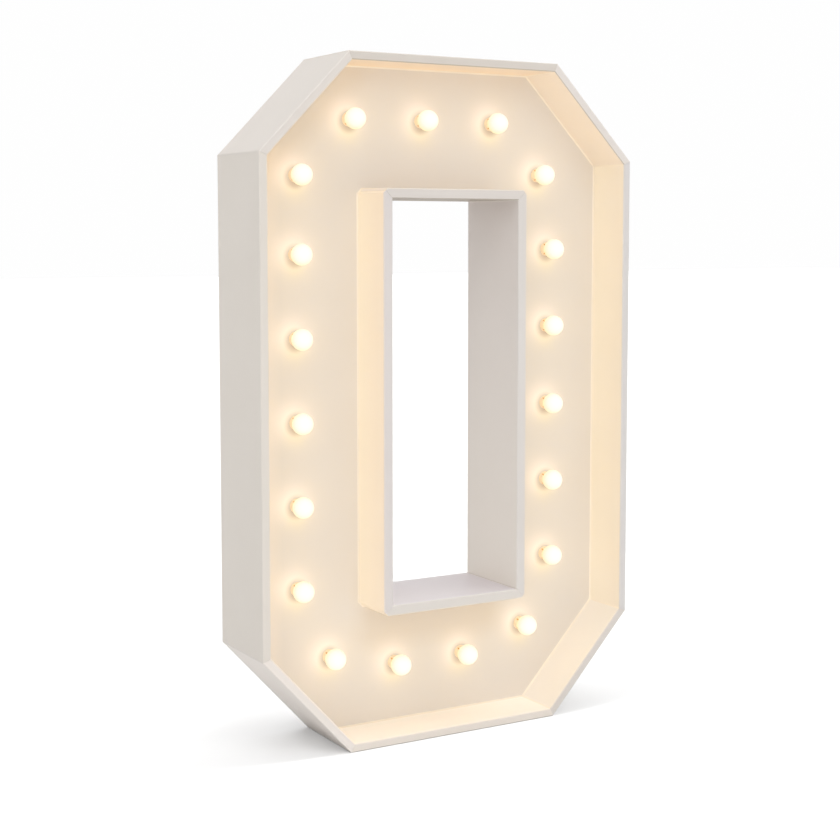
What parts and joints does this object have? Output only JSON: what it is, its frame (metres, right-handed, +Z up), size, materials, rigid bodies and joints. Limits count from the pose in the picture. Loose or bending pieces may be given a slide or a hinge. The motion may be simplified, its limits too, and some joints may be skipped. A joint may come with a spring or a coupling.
{
  "type": "light up marquee number",
  "caption": "Free-standing eight sided marquee nought: mitred board frames round a recessed face with globe bulbs, through opening, rear cover with inlet and switch.",
  "frame": {"origin": "on the floor under the middle of the frame, at the centre of the bounding box's bottom", "axes": "+X to the viewer's right, the lit face towards -Y, +Z up"},
  "size_m": [0.77, 0.174, 1.22],
  "materials": {
    "frame_paint": "satin white paint on boards",
    "face_paint": "satin white paint on board",
    "cover_paint": "satin white paint on board",
    "holder_cream": "moulded",
    "bulb_opal": "opal, lit warm white",
    "black_plastic": "moulded",
    "rocker_plastic": "moulded",
    "terminal_white": "moulded",
    "cable_white": "sheathed",
    "cap_brass": "rolled thread, on the bulbs' caps in the visual model",
    "screw_steel": "zinc plated, on the cover's screws and the pins in the visual model"
  },
  "bodies": {
    "casing": {"outer_top_board": "frame_paint", "outer_top_right_board": "frame_paint", "outer_right_board": "frame_paint", "outer_bottom_right_board": "frame_paint", "outer_bottom_board": "frame_paint", "outer_bottom_left_board": "frame_paint", "outer_left_board": "frame_paint", "outer_top_left_board": "frame_paint", "inner_top_board": "frame_paint", "inner_left_board": "frame_paint", "inner_bottom_board": "frame_paint", "inner_right_board": "frame_paint", "face_panel": "face_paint", "lampholder_01": "holder_cream", "lampholder_02": "holder_cream", "lampholder_03": "holder_cream", "lampholder_04": "holder_cream", "lampholder_05": "holder_cream", "lampholder_06": "holder_cream", "lampholder_07": "holder_cream", "lampholder_08": "holder_cream", "lampholder_09": "holder_cream", "lampholder_10": "holder_cream", "lampholder_11": "holder_cream", "lampholder_12": "holder_cream", "lampholder_13": "holder_cream", "lampholder_14": "holder_cream", "lampholder_15": "holder_cream", "lampholder_16": "holder_cream", "lampholder_17": "holder_cream", "lampholder_18": "holder_cream", "lampholder_19": "holder_cream", "rear_cover": "cover_paint", "power_inlet": "black_plastic", "switch_body": "black_plastic", "terminal_block": "terminal_white", "inlet_lead": "cable_white", "switch_lead": "cable_white", "lamp_wiring": "cable_white"},
    "bulb_01": {"bulb_01": "bulb_opal"},
    "bulb_02": {"bulb_02": "bulb_opal"},
    "bulb_03": {"bulb_03": "bulb_opal"},
    "bulb_04": {"bulb_04": "bulb_opal"},
    "bulb_05": {"bulb_05": "bulb_opal"},
    "bulb_06": {"bulb_06": "bulb_opal"},
    "bulb_07": {"bulb_07": "bulb_opal"},
    "bulb_08": {"bulb_08": "bulb_opal"},
    "bulb_09": {"bulb_09": "bulb_opal"},
    "bulb_10": {"bulb_10": "bulb_opal"},
    "bulb_11": {"bulb_11": "bulb_opal"},
    "bulb_12": {"bulb_12": "bulb_opal"},
    "bulb_13": {"bulb_13": "bulb_opal"},
    "bulb_14": {"bulb_14": "bulb_opal"},
    "bulb_15": {"bulb_15": "bulb_opal"},
    "bulb_16": {"bulb_16": "bulb_opal"},
    "bulb_17": {"bulb_17": "bulb_opal"},
    "bulb_18": {"bulb_18": "bulb_opal"},
    "bulb_19": {"bulb_19": "bulb_opal"},
    "switch_rocker": {"switch_rocker": "rocker_plastic"}
  },
  "joints": [
    {"name": "bulb_01_unscrew", "type": "slide", "parent": "casing", "child": "bulb_01", "axis": [0, -1, 0], "range_m": [0, 0.016]},
    {"name": "bulb_02_unscrew", "type": "slide", "parent": "casing", "child": "bulb_02", "axis": [0, -1, 0], "range_m": [0, 0.016]},
    {"name": "bulb_03_unscrew", "type": "slide", "parent": "casing", "child": "bulb_03", "axis": [0, -1, 0], "range_m": [0, 0.016]},
    {"name": "bulb_04_unscrew", "type": "slide", "parent": "casing", "child": "bulb_04", "axis": [0, -1, 0], "range_m": [0, 0.016]},
    {"name": "bulb_05_unscrew", "type": "slide", "parent": "casing", "child": "bulb_05", "axis": [0, -1, 0], "range_m": [0, 0.016]},
    {"name": "bulb_06_unscrew", "type": "slide", "parent": "casing", "child": "bulb_06", "axis": [0, -1, 0], "range_m": [0, 0.016]},
    {"name": "bulb_07_unscrew", "type": "slide", "parent": "casing", "child": "bulb_07", "axis": [0, -1, 0], "range_m": [0, 0.016]},
    {"name": "bulb_08_unscrew", "type": "slide", "parent": "casing", "child": "bulb_08", "axis": [0, -1, 0], "range_m": [0, 0.016]},
    {"name": "bulb_09_unscrew", "type": "slide", "parent": "casing", "child": "bulb_09", "axis": [0, -1, 0], "range_m": [0, 0.016]},
    {"name": "bulb_10_unscrew", "type": "slide", "parent": "casing", "child": "bulb_10", "axis": [0, -1, 0], "range_m": [0, 0.016]},
    {"name": "bulb_11_unscrew", "type": "slide", "parent": "casing", "child": "bulb_11", "axis": [0, -1, 0], "range_m": [0, 0.016]},
    {"name": "bulb_12_unscrew", "type": "slide", "parent": "casing", "child": "bulb_12", "axis": [0, -1, 0], "range_m": [0, 0.016]},
    {"name": "bulb_13_unscrew", "type": "slide", "parent": "casing", "child": "bulb_13", "axis": [0, -1, 0], "range_m": [0, 0.016]},
    {"name": "bulb_14_unscrew", "type": "slide", "parent": "casing", "child": "bulb_14", "axis": [0, -1, 0], "range_m": [0, 0.016]},
    {"name": "bulb_15_unscrew", "type": "slide", "parent": "casing", "child": "bulb_15", "axis": [0, -1, 0], "range_m": [0, 0.016]},
    {"name": "bulb_16_unscrew", "type": "slide", "parent": "casing", "child": "bulb_16", "axis": [0, -1, 0], "range_m": [0, 0.016]},
    {"name": "bulb_17_unscrew", "type": "slide", "parent": "casing", "child": "bulb_17", "axis": [0, -1, 0], "range_m": [0, 0.016]},
    {"name": "bulb_18_unscrew", "type": "slide", "parent": "casing", "child": "bulb_18", "axis": [0, -1, 0], "range_m": [0, 0.016]},
    {"name": "bulb_19_unscrew", "type": "slide", "parent": "casing", "child": "bulb_19", "axis": [0, -1, 0], "range_m": [0, 0.016]},
    {"name": "power_rocker", "type": "hinge", "parent": "casing", "child": "switch_rocker", "pos_m": [0.04, 0.0808, 0.07], "axis": [1, 0, 0], "range_deg": [-24, 0]}
  ]
}
